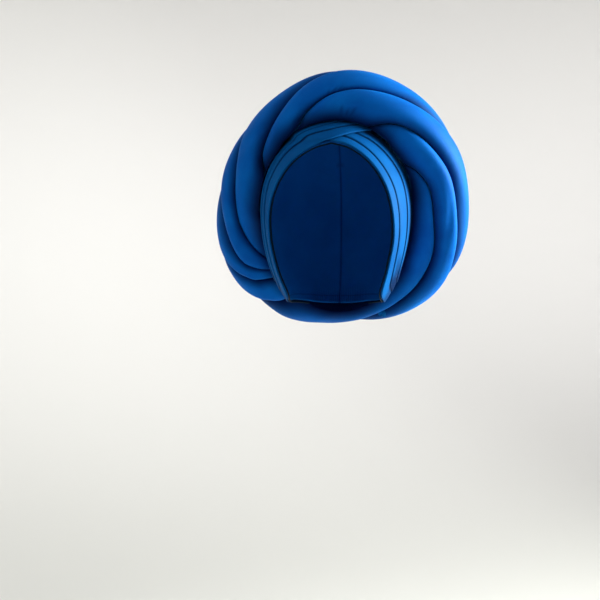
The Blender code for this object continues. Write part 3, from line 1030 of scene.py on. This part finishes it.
# %% The hem all round
NAPE = (162, 180, -60)
NAPE_STEPS = 141
CAP_POLE = (180, 40)
CAP_SETBACK = 1.0
right, left = (np.stack(pleat_lines(hand)[0], -1) for hand in (1, -1))
front = int(np.argmax(right[:, 0] > 0))
nape_turn, back_turn, nape_rise = NAPE
behind = [(nape_turn, nape_rise), (back_turn, nape_rise), (360 - nape_turn, nape_rise)]
nape = through([right[-1], *behind, left[-1] + (360, 0)], NAPE_STEPS)[1:-1]
front_middle = (0, STRIP[2][2])
hem = direction(*np.vstack([[front_middle], right[front:], nape, left[:front - 1:-1]]).T)
pole = direction(*CAP_POLE)
spread = np.arccos(hem @ pole) - math.radians(CAP_SETBACK)
side = unit(hem - (hem @ pole)[:, None] * pole)
print("the hem has", len(hem), "points")

# %% [markdown]
# ## Seam, hem and gathered nape
# A seam runs from the crown down the middle of the back. The hem is turned up once and stitched,
# which leaves a fine groove all round. At the nape the hem is gathered on elastic, which pulls
# small ripples into the cloth that die out upwards. All of them are real height in the mesh, and
# the same numbers set the painted shade in each groove and ripple trough.

# %% One face of the cap's cloth
SEAM_HALF_WIDTH = 1.6
SEAM_DEPTH = 0.6
SEAM_END = 20
SEAM_AWAY = 50
HEM_DEPTH = 9.0
STITCH_HALF_WIDTH = 0.9
STITCH_DEPTH = 0.3
RIPPLES = 34
RIPPLE_HEIGHT = 0.45
RIPPLE_FADE = 9
CAP_SLACK = 0.5
MM_PER_RADIAN = 105
at_nape = np.zeros(len(hem))
first_nape = 1 + len(right) - front
at_nape[first_nape:first_nape + len(nape)] = np.sin(np.linspace(0, math.pi, len(nape))) ** 0.5
nape_share = np.cumsum(at_nape > 0) / len(nape)


def cap_layer(rings, lift):
    """One face of the cap's cloth, with the seam's groove and the nape's ripples, and the painted
    shade at each point."""
    reach = spread[:, None] * rings
    ways = np.cos(reach)[..., None] * pole + np.sin(reach)[..., None] * side[:, None]
    flat = over_head(ways, lift + 0 * reach)
    in_front = smoothstep((SEAM_END - flat[..., 1]) / SEAM_END)
    from_seam = np.abs(flat[..., 0]) + SEAM_AWAY * in_front
    seam = np.exp(-((from_seam / SEAM_HALF_WIDTH) ** 2) * 2)
    from_hem = (spread[:, None] - reach) * MM_PER_RADIAN
    fading = np.exp(-np.maximum(from_hem - HEM_DEPTH, 0) / RIPPLE_FADE)
    ripples = np.cos(math.tau * RIPPLES * nape_share)[:, None] * at_nape[:, None] * fading
    stitching = np.exp(-(((from_hem - HEM_DEPTH) / STITCH_HALF_WIDTH) ** 2))
    around = np.arctan2(flat[..., 0], flat[..., 1]) / math.tau
    slack = CAP_SLACK * waves(60, 10, 12, (0.5, 2.0), (around, rings + 0 * reach))
    outward = 1 if lift > 0 else -1
    grooves = SEAM_DEPTH * seam + STITCH_DEPTH * stitching
    rise = RIPPLE_HEIGHT * ripples + slack - outward * grooves
    # Painted shade: the seam, the stitching and the ripple troughs are painted darker.
    deep = np.maximum(0.75 * seam, 0.6 * stitching) + 0.5 * np.maximum(0, -outward * ripples)
    return over_head(ways, lift + rise), 1 - np.clip(deep, 0, 1)


print("gathers over", len(nape), "points at the nape")

# %% [markdown]
# ## The cap's cloth
# The outside and the inside are two such faces, joined by one ring just past the hem that turns
# the edge. The rings lie closer near the hem, where the stitching and the ripples are. The cap
# is a sheet stretched over the head.

# %% Two faces and a turned edge
DOME_RINGS = 36
HEM_RINGS = 44
HEM_FROM = 0.82
EDGE_RING = 1.004
dome = np.linspace(0.002, HEM_FROM, DOME_RINGS)
rings = np.concatenate([dome, np.linspace(HEM_FROM, 1, HEM_RINGS + 1)[1:]])
outside, inside = cap_layer(rings, CAP_WALL), cap_layer(rings[::-1], 0.0)
turned_edge = cap_layer(np.array([EDGE_RING]), CAP_WALL / 2)
sections, fold = (np.concatenate(parts, 1) for parts in zip(outside, turned_edge, inside))
cap = swept("inner_cap_cloth", sections, cap_jersey, fold, True, False)
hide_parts("inner_cap")

# %% [markdown]
# ## The binding
# A narrow edge, almost black, runs all round the face opening. It is a slightly flattened tube
# along the cap's edge.

# %% The dark edge
BINDING_RADIUS = 0.9
BINDING_LIFT = 1.3
BINDING_OFFSET = 0.018
BINDING_FLATTENING = 1.1
beside_edge = []
for hand in (1, -1):
    lines = pleat_lines(hand)
    edge = direction(*lines[0][:, front:])
    away = unit(edge - direction(*lines[3][:, front:]))
    beside_edge.append(edge + BINDING_OFFSET * away)
edge_line = over_head(np.vstack([beside_edge[1][::-1], beside_edge[0]]), np.array([BINDING_LIFT]))
ahead = unit(np.gradient(edge_line, axis=0))
up = unit(edge_line - HEAD_CENTRE)
sideways = np.cross(ahead, up)
a = round_tube(16)[:, None]
across = np.cos(a) * sideways[:, None] * BINDING_FLATTENING
tube = edge_line[:, None] + BINDING_RADIUS * (across + np.sin(a) * up[:, None])
binding = swept("rim_binding_cloth", tube, binding_jersey, 1.0, False, True)
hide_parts("rim_binding")
